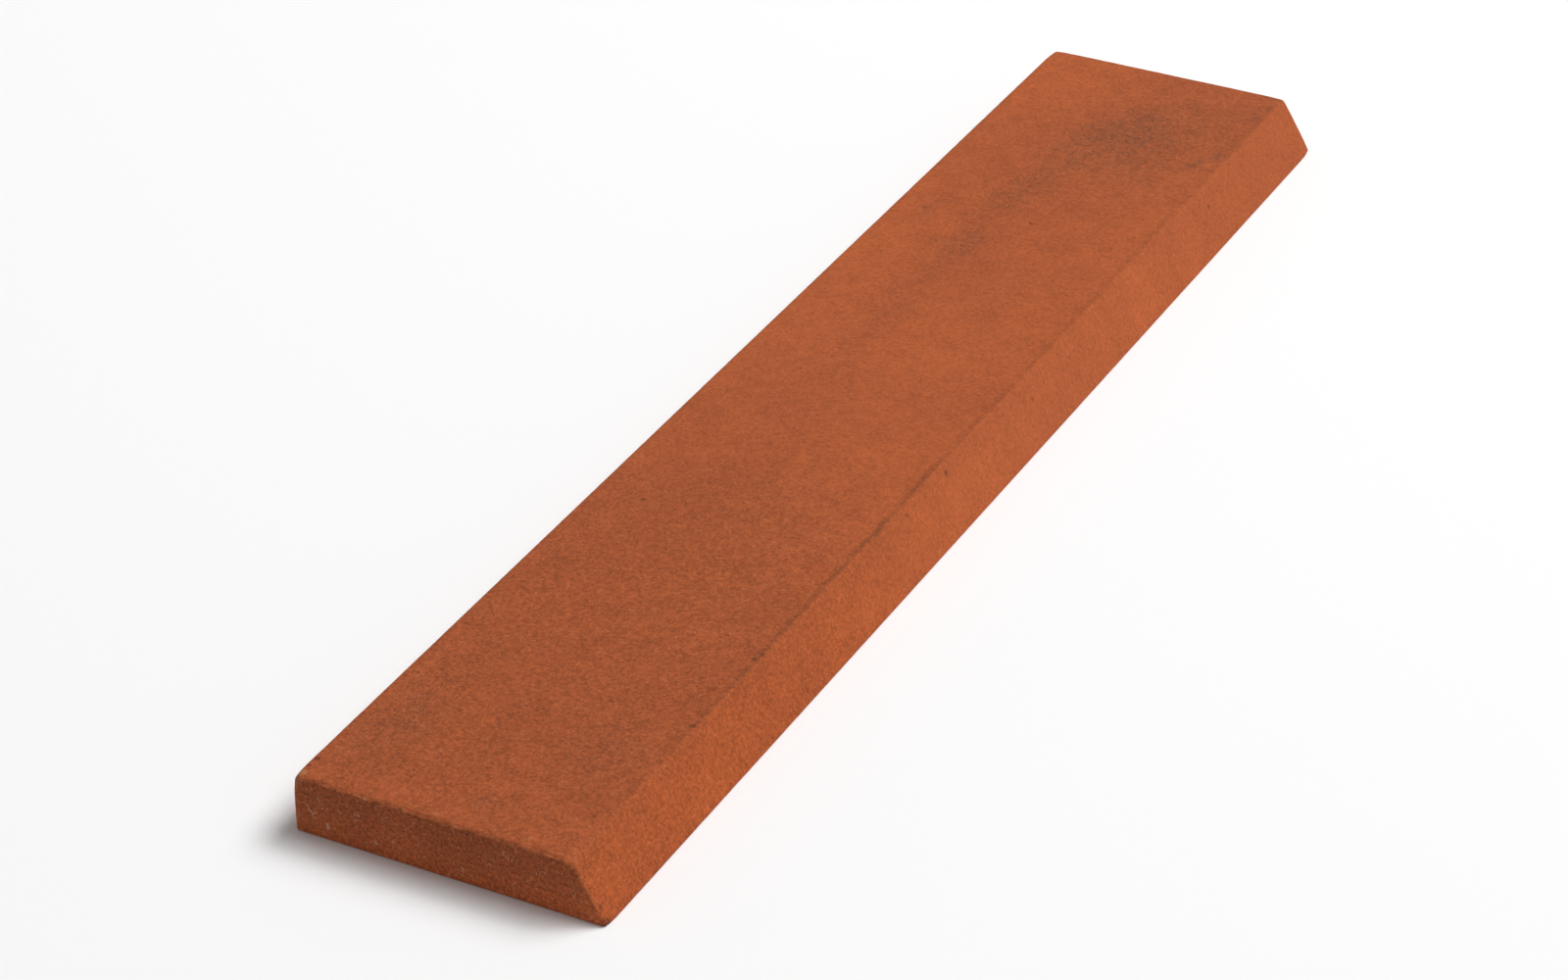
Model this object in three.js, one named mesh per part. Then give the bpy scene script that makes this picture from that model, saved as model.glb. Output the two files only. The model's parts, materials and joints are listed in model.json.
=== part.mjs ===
// Bevel-edge sharpening stone: one solid bar of bonded abrasive, with a square long edge and a
// bevelled long edge.
//
// Units are millimetres and +Z is up. The origin is the middle of the underside. The bar lies along
// Y, its square edge faces -X, and its bevel faces +X and rises from the sharp lower edge.

import * as THREE from 'three';

// Driving dimensions
const INCH = 25.4;
const LENGTH = 5 * INCH;
const WIDTH = 1 * INCH;
const THICKNESS = (3 / 16) * INCH;
const BEVEL_ANGLE = THREE.MathUtils.degToRad(60); // between the bevel and the underside

// Wear on the long edges: the radius of each rounded corner of the cross-section
const SQUARE_EDGE_TOP_RADIUS = 0.6;
const BEVEL_EDGE_TOP_RADIUS = 0.5;
const SQUARE_EDGE_FOOT_RADIUS = 0.15;
const BEVEL_EDGE_FOOT_RADIUS = 0.15;

// Every edge around an end face is rounded by this much, which is less than the radii above
const END_RADIUS = 0.12;

// How finely the round edges are divided
const STEPS_PER_CORNER = 6;
const STEPS_PER_END = 4;

const BEVEL_RUN = THICKNESS / Math.tan(BEVEL_ANGLE);

// How far the rounding of the bevel's foot stays behind the corner that its two sides would meet in
const FOOT_SETBACK = BEVEL_EDGE_FOOT_RADIUS * (1 / Math.tan(BEVEL_ANGLE / 2) - 1);

// The corners of the cross-section before they are rounded, anticlockwise, as seen looking along +Y.
// The bevel's foot lies outside the width by its setback, so that the rounded bar has the full width.
function sectionCorners() {
  const left = -WIDTH / 2;
  const right = WIDTH / 2 + FOOT_SETBACK;
  return [
    { point: new THREE.Vector2(left, 0), radius: SQUARE_EDGE_FOOT_RADIUS },
    { point: new THREE.Vector2(right, 0), radius: BEVEL_EDGE_FOOT_RADIUS },
    { point: new THREE.Vector2(right - BEVEL_RUN, THICKNESS), radius: BEVEL_EDGE_TOP_RADIUS },
    { point: new THREE.Vector2(left, THICKNESS), radius: SQUARE_EDGE_TOP_RADIUS },
  ];
}

// The points of the arc that rounds one corner and touches both of its sides.
function roundCorner(previous, corner, next) {
  const towardsPrevious = previous.clone().sub(corner.point).normalize();
  const towardsNext = next.clone().sub(corner.point).normalize();
  const halfAngle = towardsPrevious.angleTo(towardsNext) / 2;
  const towardsCentre = towardsPrevious.clone().add(towardsNext).normalize();
  const centre = corner.point.clone()
    .addScaledVector(towardsCentre, corner.radius / Math.sin(halfAngle));
  const sweep = Math.PI - 2 * halfAngle;
  const middle = towardsCentre.angle() + Math.PI;
  const points = [];
  for (let step = 0; step <= STEPS_PER_CORNER; step += 1) {
    const angle = middle + sweep * (step / STEPS_PER_CORNER - 0.5);
    points.push(new THREE.Vector2(
      centre.x + corner.radius * Math.cos(angle),
      centre.y + corner.radius * Math.sin(angle),
    ));
  }
  return points;
}

function sectionShape() {
  const corners = sectionCorners();
  const points = corners.flatMap((corner, index) => {
    const previous = corners[(index + corners.length - 1) % corners.length].point;
    const next = corners[(index + 1) % corners.length].point;
    return roundCorner(previous, corner, next);
  });
  return new THREE.Shape(points);
}

// The section is extruded along its own Z, and then turned so that it runs along Y.
function stoneGeometry() {
  const geometry = new THREE.ExtrudeGeometry(sectionShape(), {
    depth: LENGTH - 2 * END_RADIUS,
    steps: 1,
    bevelEnabled: true,
    bevelThickness: END_RADIUS,
    bevelSize: END_RADIUS,
    bevelOffset: -END_RADIUS,
    bevelSegments: STEPS_PER_END,
  });
  geometry.rotateX(Math.PI / 2);
  geometry.translate(0, LENGTH / 2 - END_RADIUS, 0);
  return geometry;
}

const abrasive = new THREE.MeshStandardMaterial({
  color: new THREE.Color().setRGB(0.68, 0.35, 0.21, THREE.SRGBColorSpace),
  roughness: 0.9,
  metalness: 0,
});

const stone = new THREE.Mesh(stoneGeometry(), abrasive);
stone.name = 'sharpening_stone';

const part = new THREE.Group();
part.name = 'bevel_edge_sharpening_stone';
part.add(stone);

export default part;
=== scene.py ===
import json
import math

import bpy
import numpy as np
from mathutils import Matrix, Vector, noise


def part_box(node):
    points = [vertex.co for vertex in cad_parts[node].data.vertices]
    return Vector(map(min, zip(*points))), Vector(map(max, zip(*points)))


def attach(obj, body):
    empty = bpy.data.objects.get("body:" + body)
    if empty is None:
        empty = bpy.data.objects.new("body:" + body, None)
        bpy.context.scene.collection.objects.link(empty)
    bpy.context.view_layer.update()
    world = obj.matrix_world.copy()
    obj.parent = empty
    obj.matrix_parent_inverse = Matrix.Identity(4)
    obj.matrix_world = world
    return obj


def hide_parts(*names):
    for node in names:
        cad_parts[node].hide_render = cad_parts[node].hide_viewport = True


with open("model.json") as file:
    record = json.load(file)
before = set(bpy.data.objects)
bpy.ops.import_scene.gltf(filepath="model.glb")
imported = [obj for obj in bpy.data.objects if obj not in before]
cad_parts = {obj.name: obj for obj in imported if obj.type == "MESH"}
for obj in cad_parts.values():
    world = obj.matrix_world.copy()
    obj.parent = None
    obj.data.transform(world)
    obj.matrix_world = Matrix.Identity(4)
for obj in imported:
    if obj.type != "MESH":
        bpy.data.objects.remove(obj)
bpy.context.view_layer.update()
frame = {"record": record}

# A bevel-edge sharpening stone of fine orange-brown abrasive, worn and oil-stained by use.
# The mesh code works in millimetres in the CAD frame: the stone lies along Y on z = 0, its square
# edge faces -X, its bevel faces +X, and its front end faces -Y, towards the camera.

MM = 0.001
NODE = "sharpening_stone"

# ------------------------------------------------------------ dimensions, from the frame

box_low, box_high = (np.array(corner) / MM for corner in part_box(NODE))
LEFT, FRONT, BOTTOM = box_low
BACK, TOP = box_high[1:]
MIDDLE = (FRONT + BACK) / 2
bevel_mount = next(m for m in frame["record"]["mounts"] if m["name"] == "bevel_face")
BEVEL_OUT_X, _, BEVEL_OUT_Z = bevel_mount["axis"]
BEVEL_X, _, BEVEL_Z = (metres / MM for metres in bevel_mount["pos_m"])


def bevel_x(z):
    """Where the bevel's plane is at height z."""
    return BEVEL_X + (BEVEL_Z - z) * BEVEL_OUT_Z / BEVEL_OUT_X


FOOT = bevel_x(BOTTOM)
SHOULDER = bevel_x(TOP)

# ------------------------------------------------------------ how the stone is worn
# Noise is given as layers: amount, size and shift of each. Each shift is another pattern.

# The section's corners, anticlockwise from the foot of the square edge
SECTION = np.array([[LEFT, BOTTOM], [FOOT, BOTTOM], [SHOULDER, TOP], [LEFT, TOP]])

# How far wear has rounded the long edges, and how far around a corner its radius counts
FOOT_RADIUS = 0.14
SQUARE_TOP_RADIUS = 0.42
CORNER_REACH = 1.5

# The shoulder is rounded further towards the ends: distances in from the front, and radii
SHOULDER_WEAR_ALONG = (0, 4, 10, 18, 85, 105, 120, 127)
SHOULDER_WEAR_RADII = (1.30, 1.10, 0.75, 0.42, 0.42, 0.75, 0.75, 0.35)

# The edges around the two end faces, and how unevenly the upper ones are rounded
END_FOOT_RADIUS = 0.12
FRONT_TOP_RADIUS = 0.34
BACK_TOP_RADIUS = 0.14
END_UNEVENNESS = ((0.30, 2.4, 0), (0.25, 0.8, 40))

# Faint ripples on every face
RIPPLE_MEAN_DEPTH = 0.006
RIPPLES = ((0.003, 2.5, 10), (0.003, 0.9, 20))

# Crumbs have come away from the edges, mostly on the front's upper edge. The most that is lost stays
# well below that edge's radius, so that faces seldom turn over.
SMALL_CRUMBS = ((1.0, 0.6, 30),)
SMALL_CRUMB_BIAS = 0.1
LARGE_CRUMBS = ((0.8, 1.5, 35),)
LARGE_CRUMB_BIAS = -0.08
CRUMB_DEPTH = 0.012
FRONT_CRUMB_DEPTH = 0.27
MOST_LOST = 0.16

# The crumbled edge: how far in from the end, between which depths, and how far from the left side
CRUMBLED_LENGTH = 0.6
CRUMBLED_DEPTHS = (1.2, 0.4)
CRUMBLED_FROM_LEFT = (0.4, 1.4)

# A place counts as on an edge once its normal has turned this far, as 1 minus the cosine
EDGE_TURN = 0.08

# Corners that knocks have rounded further: place, extra radius, reach
KNOCKS = (
    ((LEFT, FRONT, TOP), 0.28, 0.9),
    ((SHOULDER, FRONT, TOP), 0.25, 0.8),
    ((FOOT, FRONT, BOTTOM), 0.12, 0.7),
    ((LEFT, FRONT, BOTTOM), 0.06, 0.7),
    ((LEFT, BACK, TOP), 0.22, 1.0),
    ((SHOULDER, BACK, TOP), 0.10, 1.0),
    ((FOOT, BACK, BOTTOM), 0.12, 0.8),
)

# Stains of oil and swarf on the top: x, y, half width, half length, strength
STAINS = (
    (0.2, 53.0, 2.4, 3.8, 0.40),
    (1.5, 49.5, 4.6, 7.0, 0.36),
    (-2.4, 45.5, 2.6, 6.0, 0.36),
    (-3.9, 36.5, 2.1, 4.8, 0.38),
    (-4.4, 27.0, 1.6, 4.0, 0.34),
    (-4.5, 15.0, 1.5, 9.0, 0.22),
    (-9.0, 31.0, 1.0, 2.6, 0.25),
    (5.0, 56.0, 6.0, 9.0, 0.26),
    (7.8, 48.3, 0.7, 1.1, 0.60),
    (9.3, 50.7, 0.5, 0.9, 0.50),
    (8.7, 49.2, 1.3, 1.8, 0.20),
    (9.2, 60.0, 0.6, 2.0, 0.45),
    (5.2, -50.5, 2.4, 3.2, 0.16),
    (1.2, -60.2, 0.7, 0.7, 0.40),
    (-9.5, -54.0, 2.8, 6.5, 0.30),
    (0.5, -18.0, 4.5, 6.0, 0.10),
    (4.8, -24.0, 3.4, 9.0, 0.10),
    (-5.5, -5.5, 2.2, 3.2, 0.12),
    (7.0, -51.5, 1.5, 2.5, 0.14),
    (4.5, 43.5, 3.6, 3.2, 0.18),
)

# Places that use has kept clean: x, y, half width, half length, strength
CLEAN = (
    (-9.6, 18.0, 1.9, 11.0, 0.45),
    (3.4, 14.0, 4.2, 16.0, 0.35),
    (-8.6, 57.0, 3.0, 6.0, 0.60),
    (7.5, 34.0, 2.4, 9.0, 0.45),
    (-8.5, 5.0, 3.0, 8.0, 0.90),
    (-12.0, 0.0, 1.9, 160.0, 0.80),
    (-8.5, -20.0, 2.5, 7.0, 0.75),
    (-10.5, 43.0, 1.6, 5.0, 0.70),
    (8.0, -60.0, 3.5, 2.0, 0.60),
    (-2.0, -62.6, 12.0, 1.3, 0.55),
)

# The outlines of the stains and the clean places are bent sideways and lengthways
BEND_X = ((0.9, 5.0, 50), (0.9, 1.6, 52))
BEND_Y = ((0.9, 5.0, 60), (0.9, 1.6, 62))

# The front of the top is darker, evenly, up to a slanting line which wanders: partly the top's own darker
# tone, partly painted shade for the light falling off towards the front end
DARK_FRONT_END = -17.0
DARK_FRONT_SLANT = -0.9
DARK_FRONT_BLUR = 12.0
DARK_FRONT_WANDER = ((6.0, 11.0, 70),)

# Handling has left the front half coarser in grain, and its bevel warmer in colour
HANDLED_END = -19.0
HANDLED_BLUR = 24.0

# Dirt caught in a thin line beside the shoulder: distances in from the front, and strengths
GRIME_ALONG = (0, 12, 28, 42, 54, 62, 80, 108, 127)
GRIME_STRENGTHS = (0.0, 0.15, 0.70, 1.0, 0.95, 0.50, 0.40, 0.25, 0.40)
GRIME_WIDTH = 0.28
GRIME_INSET = 0.32
GRIME_WANDER = ((0.08, 3.0, 80), (0.14, 1.3, 85))
GRIME_UNEVENNESS = ((1.0, 3.2, 90), (0.7, 0.9, 95))
GRIME_LEAST_SHARE = 0.50
GRIME_AND_SHADE_REACH_DOWN = 2.0

# Painted shade: a broad faint band of the dirt's colour lies over the shoulder itself, darkening the light
# its rounding catches, and fades towards the back
SHADE_BAND_ALONG = (0, 48, 75)
SHADE_BAND_STRENGTHS = (0.20, 0.17, 0.03)
SHADE_BAND_WIDTH = 0.55
SHADE_BAND_OFFSET = 0.1

# Edges are rubbed paler this far in from the ends; the pale rim is also a painted highlight along these
# edges
RUBBED_AND_HIGHLIGHT_LENGTH = 1.2


def on_top(x, y):
    """A place on the top."""
    return x, y, TOP


def on_bevel(down, y):
    """A place on the bevel, this far below the top."""
    z = TOP - down
    return bevel_x(z), y, z


# Single dark pits and chips, and painted shade at the foot's front tip: place, radius, strength
PITS_AND_SHADED_TIP = (
    (on_top(-10.2, -47.4), 0.28, 0.6),
    (on_top(-8.4, -20.7), 0.32, 0.7),
    (on_top(-5.0, -16.3), 0.26, 0.5),
    (on_top(-3.7, -7.5), 0.30, 0.3),
    (on_top(-5.0, 2.2), 0.26, 0.4),
    (on_top(1.0, -56.3), 0.20, 0.6),
    (on_top(2.9, -45.5), 0.22, 0.6),
    (on_top(0.5, -28.0), 0.26, 0.5),
    (on_top(8.8, -58.2), 0.26, 0.5),
    (on_top(9.7, -45.6), 0.30, 0.9),
    (on_top(9.6, -36.2), 0.28, 0.8),
    (on_top(9.9, -35.4), 0.26, 0.7),
    (on_top(-0.4, 32.5), 0.34, 0.5),
    (on_top(-9.9, 31.2), 0.40, 0.5),
    (on_top(7.8, 48.2), 0.55, 0.4),
    (on_bevel(0.6, -6.0), 0.30, 0.70),
    (on_bevel(0.6, -12.9), 0.26, 0.4),
    (on_bevel(1.6, 8.6), 0.26, 0.5),
    (on_bevel(1.5, 44.5), 0.30, 0.55),
    (on_bevel(2.1, FRONT + 0.3), 0.20, 0.5),
    (on_bevel(1.3, FRONT + 0.5), 0.16, 0.5),
    (on_bevel(3.45, FRONT + 0.35), 0.28, 0.8),
    (on_top(LEFT + 0.5, -61.0), 0.34, 0.9),
    (on_top(LEFT + 0.4, -61.9), 0.22, 0.6),
    # Painted shade: the chipped front tip of the foot, dark where it meets the floor
    ((FOOT, FRONT, BOTTOM), 0.85, 1.0),
)

# Pale places, described likewise: dust on the worn corner, chips of the front edge and of the
# shoulder, and large grains
PALE_PLACES = (
    (on_top(LEFT + 0.45, -62.8), 0.50, 0.80),
    ((LEFT + 0.5, FRONT + 0.2, TOP - 0.3), 0.50, 0.45),
    (on_top(-6.7, -62.6), 0.17, 0.5),
    (on_top(-1.2, -62.8), 0.20, 0.5),
    (on_top(3.5, -62.6), 0.16, 0.5),
    (on_top(6.2, -62.3), 0.20, 0.7),
    (on_top(9.2, -59.4), 0.18, 0.4),
    (on_top(9.9, -57.3), 0.17, 0.6),
    (on_bevel(0.2, -50.5), 0.17, 0.6),
    (on_top(-1.8, -37.7), 0.16, 0.5),
    (on_top(-4.4, -29.7), 0.14, 0.4),
)

# ------------------------------------------------------------ the lattice of points

# Distances from each edge: fine steps beside it, then even steps
FINE_STEPS = (0.0, 0.07, 0.15, 0.25, 0.38, 0.55, 0.8)
STEP_ACROSS = 0.30
STEP_ALONG = 0.36
STEP_UP = 0.42


def graded(length, step):
    """Positions from 0 to length: FINE_STEPS at both ends and about one step apart between."""
    fine = np.array(FINE_STEPS)
    inner = length - 2 * fine[-1]
    count = max(1, round(inner / step))
    middle = fine[-1] + inner * np.arange(1, count) / count
    return np.concatenate([fine, middle, length - fine[::-1]])


def side(grid, inward):
    """The quads of one side of the lattice, wound to face out."""
    quads = np.stack([grid[:-1, :-1], grid[1:, :-1], grid[1:, 1:], grid[:-1, 1:]], axis=-1)
    quads = quads.reshape(-1, 4)
    return quads[:, ::-1] if inward else quads


def lattice():
    """Points all over a sharp-edged bar, and the quads between them."""
    across = graded(SHOULDER - LEFT, STEP_ACROSS)
    along = graded(BACK - FRONT, STEP_ALONG) + FRONT
    up = graded(TOP - BOTTOM, STEP_UP) + BOTTOM
    shape = (len(across), len(along), len(up))
    i, j, k = np.indices(shape).reshape(3, -1)
    ends = [(n == 0) | (n == size - 1) for n, size in zip((i, j, k), shape)]
    shell = ends[0] | ends[1] | ends[2]
    ids = np.full(shape, -1)
    ids.reshape(-1)[shell] = np.arange(shell.sum())
    i, j, k = i[shell], j[shell], k[shell]
    # A lower row is wider: its points shift towards the bevel, but not those near the square edge.
    share = across[i] / across[-1]
    x = LEFT + across[i] + share * (bevel_x(up[k]) - SHOULDER)
    quads = np.concatenate([
        side(ids[0], True), side(ids[-1], False),
        side(ids[:, 0], False), side(ids[:, -1], True),
        side(ids[:, :, 0], True), side(ids[:, :, -1], False),
    ])
    return np.stack([x, along[j], up[k]], axis=1), quads


# ------------------------------------------------------------ rounding and wear

def rough(points, layers):
    """Smooth noise, each layer of it from about minus to plus its amount."""
    total = np.zeros(len(points))
    for amount, size, shift in layers:
        total += amount * np.array([noise.noise(Vector(place)) for place in points / size + shift])
    return total


def near(points, centre, reach):
    """1 at the centre, falling smoothly to 0 over about twice the reach."""
    return np.exp(-(((points - np.array(centre)) / reach) ** 2).sum(axis=1))


def rise(value, low, high):
    """0 below low, 1 above high, and smooth between."""
    share = np.clip((value - low) / (high - low), 0, 1)
    return share * share * (3 - 2 * share)


def from_end(points):
    """The distance to the nearer end of the stone."""
    return np.minimum(points[:, 1] - FRONT, BACK - points[:, 1])


def fades(value, middle, blur):
    """1 well below the middle, 0 well above it."""
    return 1 - rise(value, middle - blur, middle + blur)


def section_radius(points):
    """How far the long edge beside each point is rounded."""
    section = points[:, [0, 2]]
    shoulder = np.interp(points[:, 1] - FRONT, SHOULDER_WEAR_ALONG, SHOULDER_WEAR_RADII)
    foot = np.full(len(points), FOOT_RADIUS)
    square_top = np.full(len(points), SQUARE_TOP_RADIUS)
    radii = np.stack([foot, foot, shoulder, square_top], axis=1)
    weights = np.stack([near(section, corner, CORNER_REACH) + 1e-9 for corner in SECTION], axis=1)
    return (weights * radii).sum(axis=1) / weights.sum(axis=1) + knocked(points)


def end_radius(points):
    """How far the edge of the end face beside each point is rounded."""
    height = (points[:, 2] - BOTTOM) / (TOP - BOTTOM)
    top_radius = np.where(points[:, 1] < MIDDLE, FRONT_TOP_RADIUS, BACK_TOP_RADIUS)
    radius = END_FOOT_RADIUS + (top_radius - END_FOOT_RADIUS) * height
    radius *= 1 + height * rough(points, END_UNEVENNESS)
    return radius + knocked(points)


def knocked(points):
    """How much further knocks have rounded the corner beside each point."""
    return sum(extra * near(points, corner, reach) for corner, extra, reach in KNOCKS)


def side_normals():
    """Which way each side of the section faces, starting with the foot."""
    sides = np.roll(SECTION, -1, axis=0) - SECTION
    sides /= np.linalg.norm(sides, axis=1, keepdims=True)
    return np.stack([sides[:, 1], -sides[:, 0]], axis=1)


def into_section(places, radius):
    """The nearest place in the section after every side of it has moved in by the radius."""
    outward = side_normals()
    insets = [(outward[n - 1] + outward[n]) / (1 + outward[n - 1] @ outward[n]) for n in range(4)]
    corners = [SECTION[n] - radius[:, None] * insets[n] for n in range(4)]
    nearest = places.copy()
    least = np.full(len(places), np.inf)
    inside = np.ones(len(places), bool)
    for n in range(4):
        start = corners[n]
        span = corners[(n + 1) % 4] - start
        inside &= (places - start) @ outward[n] <= 0
        share = ((places - start) * span).sum(axis=1) / (span ** 2).sum(axis=1)
        on_side = start + np.clip(share, 0, 1)[:, None] * span
        distance = np.linalg.norm(places - on_side, axis=1)
        closer = distance < least
        nearest[closer] = on_side[closer]
        least = np.minimum(least, distance)
    nearest[inside] = places[inside]
    return nearest


def round_long_edges(places, radius):
    """Places in the section moved into its rounded form, with the outward normal and the depth
    below the rounded surface at each."""
    outward = side_normals()
    depths = np.stack([(SECTION[n] - places) @ outward[n] for n in range(4)], axis=1)
    core = into_section(places, radius)
    away = places - core
    distance = np.linalg.norm(away, axis=1)
    ringed = distance > 1e-6
    normal = outward[depths.argmin(axis=1)]
    normal[ringed] = away[ringed] / distance[ringed, None]
    # Towards a corner the sharp section reaches further than the radius: shrink that to the radius.
    reach = np.max(normal @ outward.T, axis=1) * distance
    depth = np.where(ringed, radius - reach, depths.min(axis=1))
    moved = np.where(ringed[:, None], core + normal * reach[:, None], places)
    return moved, normal, depth


def round_end_edges(depth, to_end, radius):
    """The depth and distance from the end after rounding, and how far the normal turns outwards
    and endwards."""
    inwards = np.maximum(radius - depth, 0)
    endwards = np.maximum(radius - to_end, 0)
    at_edge = (inwards > 0) & (endwards > 0)
    length = np.where(at_edge, np.hypot(inwards, endwards), 1)
    sideways = np.where(at_edge, inwards / length, depth < to_end)
    forwards = np.where(at_edge, endwards / length, depth >= to_end)
    depth = np.where(at_edge, radius * (1 - sideways), depth)
    to_end = np.where(at_edge, radius * (1 - forwards), to_end)
    return depth, to_end, sideways, forwards


def rounded(points):
    """The points moved onto the worn bar, which way is out at each, and how near an edge it is."""
    section, normal, depth = round_long_edges(points[:, [0, 2]], section_radius(points))
    depth = np.maximum(depth, 0)
    new_depth, to_end, sideways, forwards = round_end_edges(depth, from_end(points), end_radius(points))
    section -= normal * (new_depth - depth)[:, None]
    y = np.where(points[:, 1] < MIDDLE, FRONT + to_end, BACK - to_end)
    endwards = np.where(points[:, 1] < MIDDLE, -forwards, forwards)
    outward = np.stack([normal[:, 0] * sideways, endwards, normal[:, 1] * sideways], axis=1)
    flatness = np.maximum(np.abs(endwards), np.max(normal @ side_normals().T, axis=1) * sideways)
    return np.stack([section[:, 0], y, section[:, 1]], axis=1), outward, rise(1 - flatness, 0.0, EDGE_TURN)


def front_arris(points):
    """1 on the upper edge of the front end, and 0 away from it and at its left corner."""
    beside_end = np.exp(-((points[:, 1] - FRONT) / CRUMBLED_LENGTH) ** 2)
    lowest, full = CRUMBLED_DEPTHS
    upper = rise(points[:, 2], TOP - lowest, TOP - full)
    nearest, clear = CRUMBLED_FROM_LEFT
    return beside_end * upper * rise(points[:, 0], LEFT + nearest, LEFT + clear)


def relief(points, edge):
    """How deep the surface lies below the smooth bar: faint ripples, and crumbled edges."""
    ripples = RIPPLE_MEAN_DEPTH + rough(points, RIPPLES)
    crumbs = np.maximum(0, rough(points, SMALL_CRUMBS) + SMALL_CRUMB_BIAS)
    crumbs += np.maximum(0, rough(points, LARGE_CRUMBS) + LARGE_CRUMB_BIAS)
    lost = edge * crumbs * (CRUMB_DEPTH + FRONT_CRUMB_DEPTH * front_arris(points))
    return ripples + MOST_LOST * np.tanh(lost / MOST_LOST)


# ------------------------------------------------------------ masks for the material

def patches(points, spots):
    """The union of soft ragged ellipses on the top."""
    bent = points[:, :2] + np.stack([rough(points, BEND_X), rough(points, BEND_Y)], axis=1)
    left = np.ones(len(points))
    for x, y, half_width, half_length, strength in spots:
        left *= 1 - strength * near(bent, (x, y), (half_width, half_length))
    return 1 - left


def grime_line_and_shade_band(points):
    """Dirt beside the shoulder, uneven and wandering, and a band of painted shade over the shoulder."""
    along = points[:, 1] - FRONT
    offset = points[:, 0] - SHOULDER
    strength = np.interp(along, GRIME_ALONG, GRIME_STRENGTHS)
    uneven = rise(rough(points, GRIME_UNEVENNESS), -0.5, 0.5)
    strength *= GRIME_LEAST_SHARE + (1 - GRIME_LEAST_SHARE) * uneven
    from_middle = offset + GRIME_INSET + rough(points, GRIME_WANDER)
    line = strength * np.exp(-(from_middle / GRIME_WIDTH) ** 2)
    # Painted shade over the rounded shoulder, where it would catch the light
    shade_band = np.exp(-((offset - SHADE_BAND_OFFSET) / SHADE_BAND_WIDTH) ** 2)
    shade_band *= np.interp(along, SHADE_BAND_ALONG, SHADE_BAND_STRENGTHS)
    return np.maximum(line, shade_band) * (points[:, 2] > TOP - GRIME_AND_SHADE_REACH_DOWN)


def masks(points, outward, edge):
    """The material's masks by name, from 0 to 1 at each point. The outward direction decides what
    counts as the top, an end or the bevel."""
    x, y = points[:, 0], points[:, 1]
    height = (points[:, 2] - BOTTOM) / (TOP - BOTTOM)
    top = rise(outward[:, 2], 0.80, 0.97)
    end = rise(np.abs(outward[:, 1]), 0.50, 0.90)
    slanted = y - DARK_FRONT_SLANT * x + rough(points, DARK_FRONT_WANDER)
    return {
        "stain": top * patches(points, STAINS),
        "clean": top * patches(points, CLEAN),
        # Partly painted shade: the light falling off towards the front end
        "dark_front": top * fades(slanted, DARK_FRONT_END, DARK_FRONT_BLUR),
        "handled": fades(y, HANDLED_END, HANDLED_BLUR),
        "shoulder_grime_and_shade": grime_line_and_shade_band(points),
        # Rubbed wear and painted highlight along the edges of the ends
        "edge": edge * np.exp(-(from_end(points) / RUBBED_AND_HIGHLIGHT_LENGTH) ** 2),
        "end": end,
        # The foot of each end face, where a paler colour paints in light bounced up from the floor
        "end_foot_bounce": end * (1 - height) ** 2,
        "bevel": rise(outward[:, 0], 0.35, 0.80),
    }


def make_stone():
    """The worn bar, with the material's masks on its points."""
    points, quads = lattice()
    points, outward, edge = rounded(points)
    points -= outward * relief(points, edge)[:, None]
    mesh = bpy.data.meshes.new("worn_stone")
    mesh.from_pydata((points * MM).tolist(), [], quads.tolist())
    mesh.shade_smooth()
    for name, values in masks(points, outward, edge).items():
        mesh.attributes.new(name, "FLOAT", "POINT").data.foreach_set("value", values.astype(np.float32))
    mesh.update()
    stone = bpy.data.objects.new("worn_stone", mesh)
    bpy.context.scene.collection.objects.link(stone)
    return stone


# ------------------------------------------------------------ material

# The colour sockets of a Mix node that mixes colours
MIX_FIRST = 6
MIX_SECOND = 7
MIX_RESULT = 2

# Spots fade from their edge in to this share of their radius, and are frayed by noise of this size
SPOT_CORE = 0.4
SPOT_FRAY_SIZE = 0.25

# How soon a cell counts as having a speck
CHANCE_BLUR = 0.02


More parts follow.
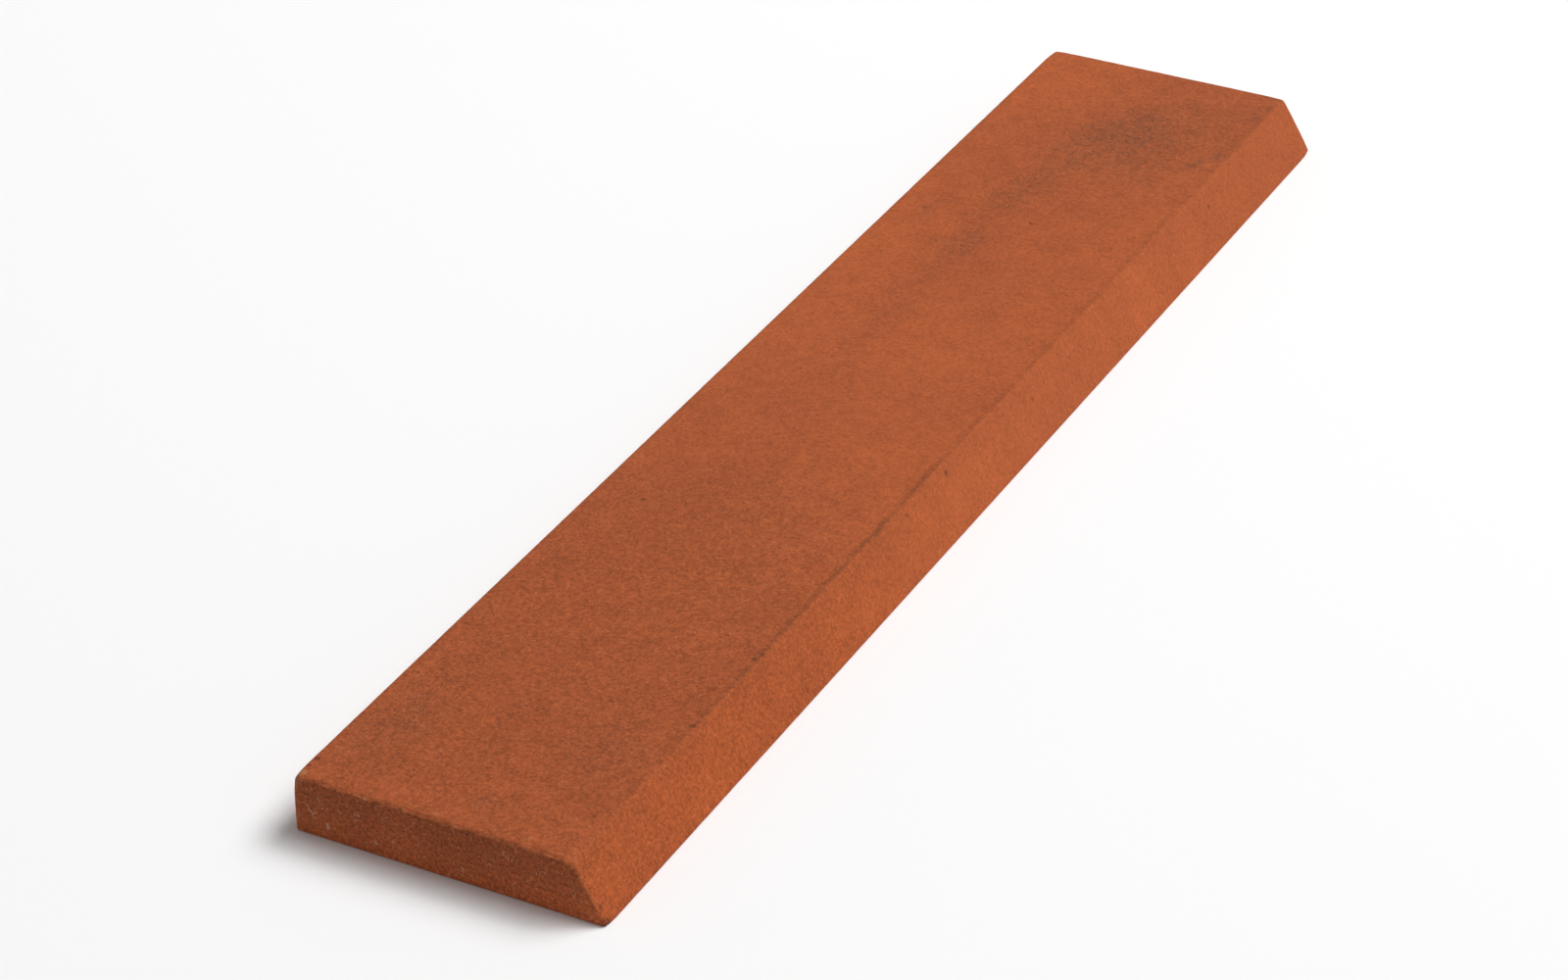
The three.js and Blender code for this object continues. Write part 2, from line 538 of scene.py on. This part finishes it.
class Nodes:
    """A material's node tree, with a short call for each kind of node. Sizes are in millimetres."""

    def __init__(self, material):
        self.tree = material.node_tree
        coordinates = self.tree.nodes.new("ShaderNodeTexCoord")
        scaled = self.add("ShaderNodeVectorMath", {0: coordinates.outputs["Object"], "Scale": 1 / MM},
                          operation="SCALE")
        self.place = scaled.outputs["Vector"]

    def add(self, kind, inputs, **settings):
        """A new node with these settings, and with values or links at these inputs."""
        node = self.tree.nodes.new(kind)
        for name, value in settings.items():
            setattr(node, name, value)
        for name, value in inputs.items():
            if isinstance(value, bpy.types.NodeSocket):
                self.tree.links.new(value, node.inputs[name])
            else:
                node.inputs[name].default_value = value
        return node

    def mask(self, name):
        """One of the masks on the mesh's points."""
        return self.add("ShaderNodeAttribute", {}, attribute_name=name).outputs["Fac"]

    def math(self, operation, first, second):
        return self.add("ShaderNodeMath", {0: first, 1: second}, operation=operation).outputs["Value"]

    def times(self, first, second):
        return self.math("MULTIPLY", first, second)

    def ramp(self, value, low, high, start=0.0, end=1.0):
        """From start at low to end at high, smoothly, and flat beyond."""
        made = self.add("ShaderNodeMapRange", {
            "Value": value, "From Min": low, "From Max": high, "To Min": start, "To Max": end,
        }, interpolation_type="SMOOTHSTEP")
        return made.outputs["Result"]

    def mix(self, factor, first, second, blend="MIX"):
        made = self.add("ShaderNodeMix", {"Factor": factor, MIX_FIRST: first, MIX_SECOND: second},
                        data_type="RGBA", blend_type=blend)
        return made.outputs[MIX_RESULT]

    def noise(self, size, detail=2.0, roughness=0.5, shift=0.0):
        """Noise whose features have this size. Each shift is another pattern."""
        moved = self.add("ShaderNodeVectorMath", {0: self.place, 1: (shift, shift, shift)}, operation="ADD")
        made = self.add("ShaderNodeTexNoise", {
            "Vector": moved.outputs["Vector"], "Scale": 1 / size, "Detail": detail, "Roughness": roughness,
        })
        return made.outputs["Fac"]

    def specks(self, cell, spread, share):
        """Specks in the middle of a share of cells of this size: 1 inside them and 0 outside."""
        made = self.add("ShaderNodeTexVoronoi", {"Vector": self.place, "Scale": 1 / cell})
        chance = self.add("ShaderNodeSeparateColor", {"Color": made.outputs["Color"]}).outputs["Red"]
        chosen = self.ramp(chance, 1 - share, 1 - share + CHANCE_BLUR)
        return self.times(self.ramp(made.outputs["Distance"], spread, spread / 2), chosen)

    def spots(self, places):
        """Ragged round spots: 0 outside them and their strengths inside."""
        fray = self.math("SUBTRACT", self.noise(SPOT_FRAY_SIZE, shift=61), 0.5)
        found = 0.0
        for place, radius, strength in places:
            away = self.add("ShaderNodeVectorMath", {0: self.place, 1: place}, operation="DISTANCE")
            frayed = self.math("ADD", away.outputs["Value"], self.times(fray, radius))
            spot = self.ramp(frayed, radius, radius * SPOT_CORE, 0.0, strength)
            found = self.math("MAXIMUM", found, spot)
        return found


def grey(value):
    """A colour with equal red, green and blue."""
    return (value, value, value, 1.0)


# Colours, and tints that multiply them, in linear red, green and blue
ORANGE = (0.404, 0.0945, 0.0284, 1.0)
DEEP_ORANGE = (0.370, 0.0870, 0.0270, 1.0)
OIL_TINT = (0.50, 0.67, 0.93, 1.0)
# This tint is partly painted shade, for the light falling off towards the front end
DARK_FRONT_TINT = (0.875, 0.885, 0.895, 1.0)
CLEAN_TINT = (1.060, 1.075, 1.11, 1.0)
HANDLED_TINT = (0.95, 0.895, 0.76, 1.0)
# The ends' tint is painted shade, for the light the end faces miss; the tint at their foot is painted light
# bounced from the floor
END_SHADE_TINT = (0.72, 0.74, 0.79, 1.0)
END_FOOT_BOUNCE_TINT = (1.75, 1.74, 1.73, 1.0)
# This colour paints both the dirt beside the shoulder and painted shade over the shoulder itself
GRIME_AND_SHADE_COLOUR = (0.15, 0.046, 0.016, 1.0)
PALE_GRAIN = (0.60, 0.24, 0.11, 1.0)
PORE = (0.14, 0.034, 0.014, 1.0)
# The dark of pits, and of the painted shade at the foot's front tip
PIT_AND_SHADE_COLOUR = (0.16, 0.042, 0.015, 1.0)
PALE_DUST = (0.42, 0.175, 0.072, 1.0)
# This pale colour is rubbed wear on the edges of the ends, and a painted highlight along them
RUBBED_AND_HIGHLIGHT_COLOUR = (0.46, 0.135, 0.050, 1.0)
LINT = (0.60, 0.36, 0.24, 1.0)

# Sizes of the patterns
CLOUD_SIZE = 9.0
MOTTLE_SIZE = 2.6
BLOTCH_SIZE = 0.9
GRAIN_SIZE = 0.30
CURL_SIZE = 1.0
CURL_LENGTH = 0.9

# Single grains: the size of the cells, how far a speck spreads in its cell, and the share of cells
CRYSTALS = (0.24, 0.5, 0.12)
PORES = (0.42, 0.42, 0.16)

# Lint shows where the noise is this near its middle, and is broken up where other noise is low
THREAD_EDGE = 0.011
THREAD_CORE = 0.004
GAP_BELOW = 0.58
WHOLE_ABOVE = 0.64

# How coarse the grain looks, and what some masks add to that
PLAIN_COARSENESS = 0.60
HANDLED_COARSENESS = 1.0
EXTRA_COARSENESS = (("end", 0.45), ("stain", 0.7), ("bevel", -0.08))

# Strengths of the patterns in the colour, and their heights in the finest relief
GRAIN_CONTRAST = 0.46
MOTTLE_CONTRAST = 0.09
CRYSTAL_STRENGTH = 0.24
PORE_STRENGTH = 0.22
LINT_STRENGTH = 0.5
BLOTCH_LEAST = 0.45
BLOTCH_MOST = 1.35
# These set both the rubbed wear and the painted highlight on the end edges
RUBBED_AND_HIGHLIGHT_LEAST = 0.15
RUBBED_AND_HIGHLIGHT_MOST = 0.65
RUBBED_AND_HIGHLIGHT_GRAIN_CONTRAST = 0.4
# The dirt line and the painted shade over the shoulder share these
GRIME_AND_SHADE_ON_DARK_GRAIN = 0.85
GRIME_AND_SHADE_ON_PALE_GRAIN = 0.40
MOTTLE_HEIGHT = 0.5
PORE_DEPTH = 0.3
PIT_DEPTH = 2.0
BUMP_DISTANCE = 0.045
BUMP_STRENGTH = 0.8

# Gloss: roughness in the grain's dark and pale parts, and what oil takes away
DARK_GRAIN_ROUGHNESS = 0.96
PALE_GRAIN_ROUGHNESS = 0.84
OIL_SMOOTHING = 0.12
STONE_SPECULAR = 0.2


def grain_coarseness(nodes):
    """How strongly the grain shows."""
    coarseness = nodes.ramp(nodes.mask("handled"), 0.0, 1.0, PLAIN_COARSENESS, HANDLED_COARSENESS)
    for name, extra in EXTRA_COARSENESS:
        coarseness = nodes.math("ADD", coarseness, nodes.times(nodes.mask(name), extra))
    return coarseness


def oil_stain(nodes):
    """The stains, broken up into blotches."""
    blotch = nodes.noise(BLOTCH_SIZE, detail=3, roughness=0.9, shift=31)
    return nodes.times(nodes.mask("stain"), nodes.ramp(blotch, 0.32, 0.66, BLOTCH_LEAST, BLOTCH_MOST))


def lint(nodes):
    """Short thin curls of lint, caught on the rough ends."""
    bend = nodes.math("SUBTRACT", nodes.noise(CURL_SIZE, detail=1, shift=41), 0.5)
    thread = nodes.ramp(nodes.math("ABSOLUTE", bend, 0.0), THREAD_EDGE, THREAD_CORE)
    short = nodes.ramp(nodes.noise(CURL_LENGTH, detail=0, shift=53), GAP_BELOW, WHOLE_ABOVE)
    return nodes.times(nodes.times(thread, short), nodes.times(nodes.mask("end"), LINT_STRENGTH))


def body_colour(nodes, mottle, grain, coarseness):
    """Orange in broad soft clouds, then mottled, then grainy."""
    clouds = nodes.noise(CLOUD_SIZE, detail=3)
    colour = nodes.mix(nodes.ramp(clouds, 0.3, 0.7), DEEP_ORANGE, ORANGE)
    fleck = nodes.times(nodes.ramp(grain, 0.2, 0.8, -GRAIN_CONTRAST, GRAIN_CONTRAST), coarseness)
    tone = nodes.ramp(mottle, 0.2, 0.8, 1 - MOTTLE_CONTRAST, 1 + MOTTLE_CONTRAST)
    return nodes.mix(1.0, colour, nodes.math("ADD", tone, fleck), "MULTIPLY")


def tinted(nodes, colour, stain):
    """The colour after use and stains, with painted shade darkening the ends, and painted light bounced
    from the floor paling them at the foot.
    """
    handled_bevel = nodes.times(nodes.mask("handled"), nodes.mask("bevel"))
    tints = (
        (nodes.mask("clean"), CLEAN_TINT),
        # Partly painted shade towards the front end
        (nodes.mask("dark_front"), DARK_FRONT_TINT),
        (handled_bevel, HANDLED_TINT),
        (stain, OIL_TINT),
        # Painted shade on the end faces, and painted bounce light at their foot
        (nodes.mask("end"), END_SHADE_TINT),
        (nodes.mask("end_foot_bounce"), END_FOOT_BOUNCE_TINT),
    )
    for factor, tint in tints:
        colour = nodes.mix(factor, colour, tint, "MULTIPLY")
    return colour


def speckled(nodes, colour, coarseness, pores):
    """The colour with single grains in it: pale crystals and dark pores."""
    crystals = nodes.times(nodes.specks(*CRYSTALS), nodes.times(coarseness, CRYSTAL_STRENGTH))
    colour = nodes.mix(crystals, colour, PALE_GRAIN)
    return nodes.mix(nodes.times(pores, PORE_STRENGTH), colour, PORE)


def marked(nodes, colour, mottle, grain, pits_and_shaded_tip):
    """The colour with edges rubbed paler and given a painted highlight, pale places, dirt and painted shade
    along the shoulder, pits, painted shade at the foot's front tip, and lint.
    """
    uneven = nodes.ramp(mottle, 0.35, 0.65, RUBBED_AND_HIGHLIGHT_LEAST, RUBBED_AND_HIGHLIGHT_MOST)
    grainy = nodes.ramp(grain, 0.3, 0.7, 1 - RUBBED_AND_HIGHLIGHT_GRAIN_CONTRAST, 1 + RUBBED_AND_HIGHLIGHT_GRAIN_CONTRAST)
    rubbed_and_highlight = nodes.times(uneven, grainy)
    # Rubbed wear and painted highlight along the edges of the ends
    colour = nodes.mix(nodes.times(nodes.mask("edge"), rubbed_and_highlight), colour, RUBBED_AND_HIGHLIGHT_COLOUR)
    colour = nodes.mix(nodes.spots(PALE_PLACES), colour, PALE_DUST)
    patchy = nodes.ramp(grain, 0.3, 0.7, GRIME_AND_SHADE_ON_DARK_GRAIN, GRIME_AND_SHADE_ON_PALE_GRAIN)
    # Dirt beside the shoulder, and painted shade over the shoulder
    colour = nodes.mix(nodes.times(nodes.mask("shoulder_grime_and_shade"), patchy), colour, GRIME_AND_SHADE_COLOUR)
    # Dark pits, and painted shade at the foot's front tip
    colour = nodes.mix(pits_and_shaded_tip, colour, PIT_AND_SHADE_COLOUR)
    return nodes.mix(lint(nodes), colour, LINT)


def gloss(nodes, grain, stain):
    """The roughness: matt, and a little less so where oil has soaked in."""
    dry = nodes.ramp(grain, 0.2, 0.8, DARK_GRAIN_ROUGHNESS, PALE_GRAIN_ROUGHNESS)
    return nodes.math("SUBTRACT", dry, nodes.times(stain, OIL_SMOOTHING))


def fine_relief(nodes, mottle, grain, coarseness, pores, pits_and_shaded_tip):
    """The normal, bent by relief too fine for the mesh: grain, mottling, pores and pits."""
    height = nodes.math("ADD", nodes.times(grain, coarseness), nodes.times(mottle, MOTTLE_HEIGHT))
    height = nodes.math("SUBTRACT", height, nodes.times(pores, PORE_DEPTH))
    height = nodes.math("SUBTRACT", height, nodes.times(pits_and_shaded_tip, PIT_DEPTH))
    bump = nodes.add("ShaderNodeBump", {
        "Height": height, "Distance": BUMP_DISTANCE * MM, "Strength": BUMP_STRENGTH,
    })
    return bump.outputs["Normal"]


def abrasive_material():
    """Fired abrasive: orange-brown, grainy, matt and stained."""
    material = bpy.data.materials.new("abrasive")
    material.use_nodes = True
    nodes = Nodes(material)
    mottle = nodes.noise(MOTTLE_SIZE, detail=4, roughness=0.75, shift=11)
    grain = nodes.noise(GRAIN_SIZE, detail=3, roughness=0.9, shift=23)
    coarseness = grain_coarseness(nodes)
    stain = oil_stain(nodes)
    pores = nodes.specks(*PORES)
    pits_and_shaded_tip = nodes.spots(PITS_AND_SHADED_TIP)

    colour = body_colour(nodes, mottle, grain, coarseness)
    colour = tinted(nodes, colour, stain)
    colour = speckled(nodes, colour, coarseness, pores)
    colour = marked(nodes, colour, mottle, grain, pits_and_shaded_tip)

    shader = material.node_tree.nodes["Principled BSDF"]
    shader.inputs["Specular IOR Level"].default_value = STONE_SPECULAR
    links = material.node_tree.links
    links.new(colour, shader.inputs["Base Color"])
    links.new(gloss(nodes, grain, stain), shader.inputs["Roughness"])
    links.new(fine_relief(nodes, mottle, grain, coarseness, pores, pits_and_shaded_tip), shader.inputs["Normal"])
    return material


stone = make_stone()
stone.data.materials.append(abrasive_material())
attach(stone, "root")
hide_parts(NODE)

# ------------------------------------------------------------ floor, light and camera

# Lengths are in millimetres, except the floor's half width and the camera's clipping distances,
# which are in metres. Angles are in degrees.
FLOOR_HALF = 6.0
FLOOR_GREY = 0.94
FLOOR_ROUGHNESS = 0.9
FLOOR_SPECULAR = 0.1

SKY_STRENGTH = 0.26
HORIZON_STRENGTH = 0.625
HORIZON_HEIGHT = 0.20

KEY_PLACE = (0, 0, 1000)
KEY_DIRECTION = (0.456, 0.35, 0.9)
KEY_STRENGTH = 1.56
KEY_SOFTNESS = 35
BOX_PLACE = (300, 560, 820)
BOX_SIZE = 560
BOX_POWER = 5.2

CAMERA_AZIMUTH = 28.48
CAMERA_ELEVATION = 32.06
CAMERA_ROLL = 1.15
CAMERA_DISTANCE = 350.1
CAMERA_AIM = (-1.10, -11.30, 2.38)
CAMERA_LENS = 102.6
CAMERA_CLIP_START = 0.01
CAMERA_CLIP_END = 50.0


def make_floor():
    """A large square of pale paper for the stone to lie on."""
    mesh = bpy.data.meshes.new("floor")
    corners = [(-1, -1), (1, -1), (1, 1), (-1, 1)]
    mesh.from_pydata([(x * FLOOR_HALF, y * FLOOR_HALF, 0) for x, y in corners], [], [(0, 1, 2, 3)])
    paper = bpy.data.materials.new("paper")
    paper.use_nodes = True
    shader = paper.node_tree.nodes["Principled BSDF"]
    shader.inputs["Base Color"].default_value = grey(FLOOR_GREY)
    shader.inputs["Roughness"].default_value = FLOOR_ROUGHNESS
    shader.inputs["Specular IOR Level"].default_value = FLOOR_SPECULAR
    mesh.materials.append(paper)
    floor = bpy.data.objects.new("floor", mesh)
    bpy.context.scene.collection.objects.link(floor)


def add_light(name, kind, place, direction, power):
    """A light at a place, shining from the given direction."""
    light = bpy.data.lights.new(name, kind)
    light.energy = power
    holder = bpy.data.objects.new(name, light)
    holder.location = Vector(place) * MM
    holder.rotation_euler = Vector(direction).to_track_quat("Z", "Y").to_euler()
    bpy.context.scene.collection.objects.link(holder)
    return light


def make_world():
    """An even sky that brightens towards the horizon, so that the floor runs into it unseen."""
    world = bpy.data.worlds.new("studio")
    world.use_nodes = True
    nodes = world.node_tree.nodes
    direction = nodes.new("ShaderNodeTexCoord").outputs["Generated"]
    parts = nodes.new("ShaderNodeSeparateXYZ")
    fade = nodes.new("ShaderNodeMapRange")
    fade.interpolation_type = "SMOOTHSTEP"
    fade.inputs["From Max"].default_value = HORIZON_HEIGHT
    fade.inputs["To Min"].default_value = HORIZON_STRENGTH
    fade.inputs["To Max"].default_value = SKY_STRENGTH
    background = nodes["Background"]
    background.inputs["Color"].default_value = grey(1.0)
    links = world.node_tree.links
    links.new(direction, parts.inputs["Vector"])
    links.new(parts.outputs["Z"], fade.inputs["Value"])
    links.new(fade.outputs["Result"], background.inputs["Strength"])
    bpy.context.scene.world = world


def make_lights():
    """A soft key light, and a round softbox beyond the far end of the stone."""
    key = add_light("key", "SUN", KEY_PLACE, KEY_DIRECTION, KEY_STRENGTH)
    key.angle = math.radians(KEY_SOFTNESS)
    box = add_light("softbox", "AREA", BOX_PLACE, BOX_PLACE, BOX_POWER)
    box.shape = "DISK"
    box.size = BOX_SIZE * MM


def make_camera():
    """The camera, looking down on the front end from the bevel's side."""
    data = bpy.data.cameras.new("camera")
    data.lens = CAMERA_LENS
    data.clip_start = CAMERA_CLIP_START
    data.clip_end = CAMERA_CLIP_END
    azimuth = math.radians(CAMERA_AZIMUTH)
    elevation = math.radians(CAMERA_ELEVATION)
    back = Vector((
        math.sin(azimuth) * math.cos(elevation),
        -math.cos(azimuth) * math.cos(elevation),
        math.sin(elevation),
    ))
    turn = back.to_track_quat("Z", "Y").to_matrix()
    turn = turn @ Matrix.Rotation(math.radians(-CAMERA_ROLL), 3, "Z")
    place = (Vector(CAMERA_AIM) + back * CAMERA_DISTANCE) * MM
    camera = bpy.data.objects.new("camera", data)
    camera.matrix_world = Matrix.Translation(place) @ turn.to_4x4()
    bpy.context.scene.collection.objects.link(camera)
    bpy.context.scene.camera = camera


make_floor()
make_world()
make_lights()
make_camera()
bpy.context.scene.view_settings.view_transform = "Standard"
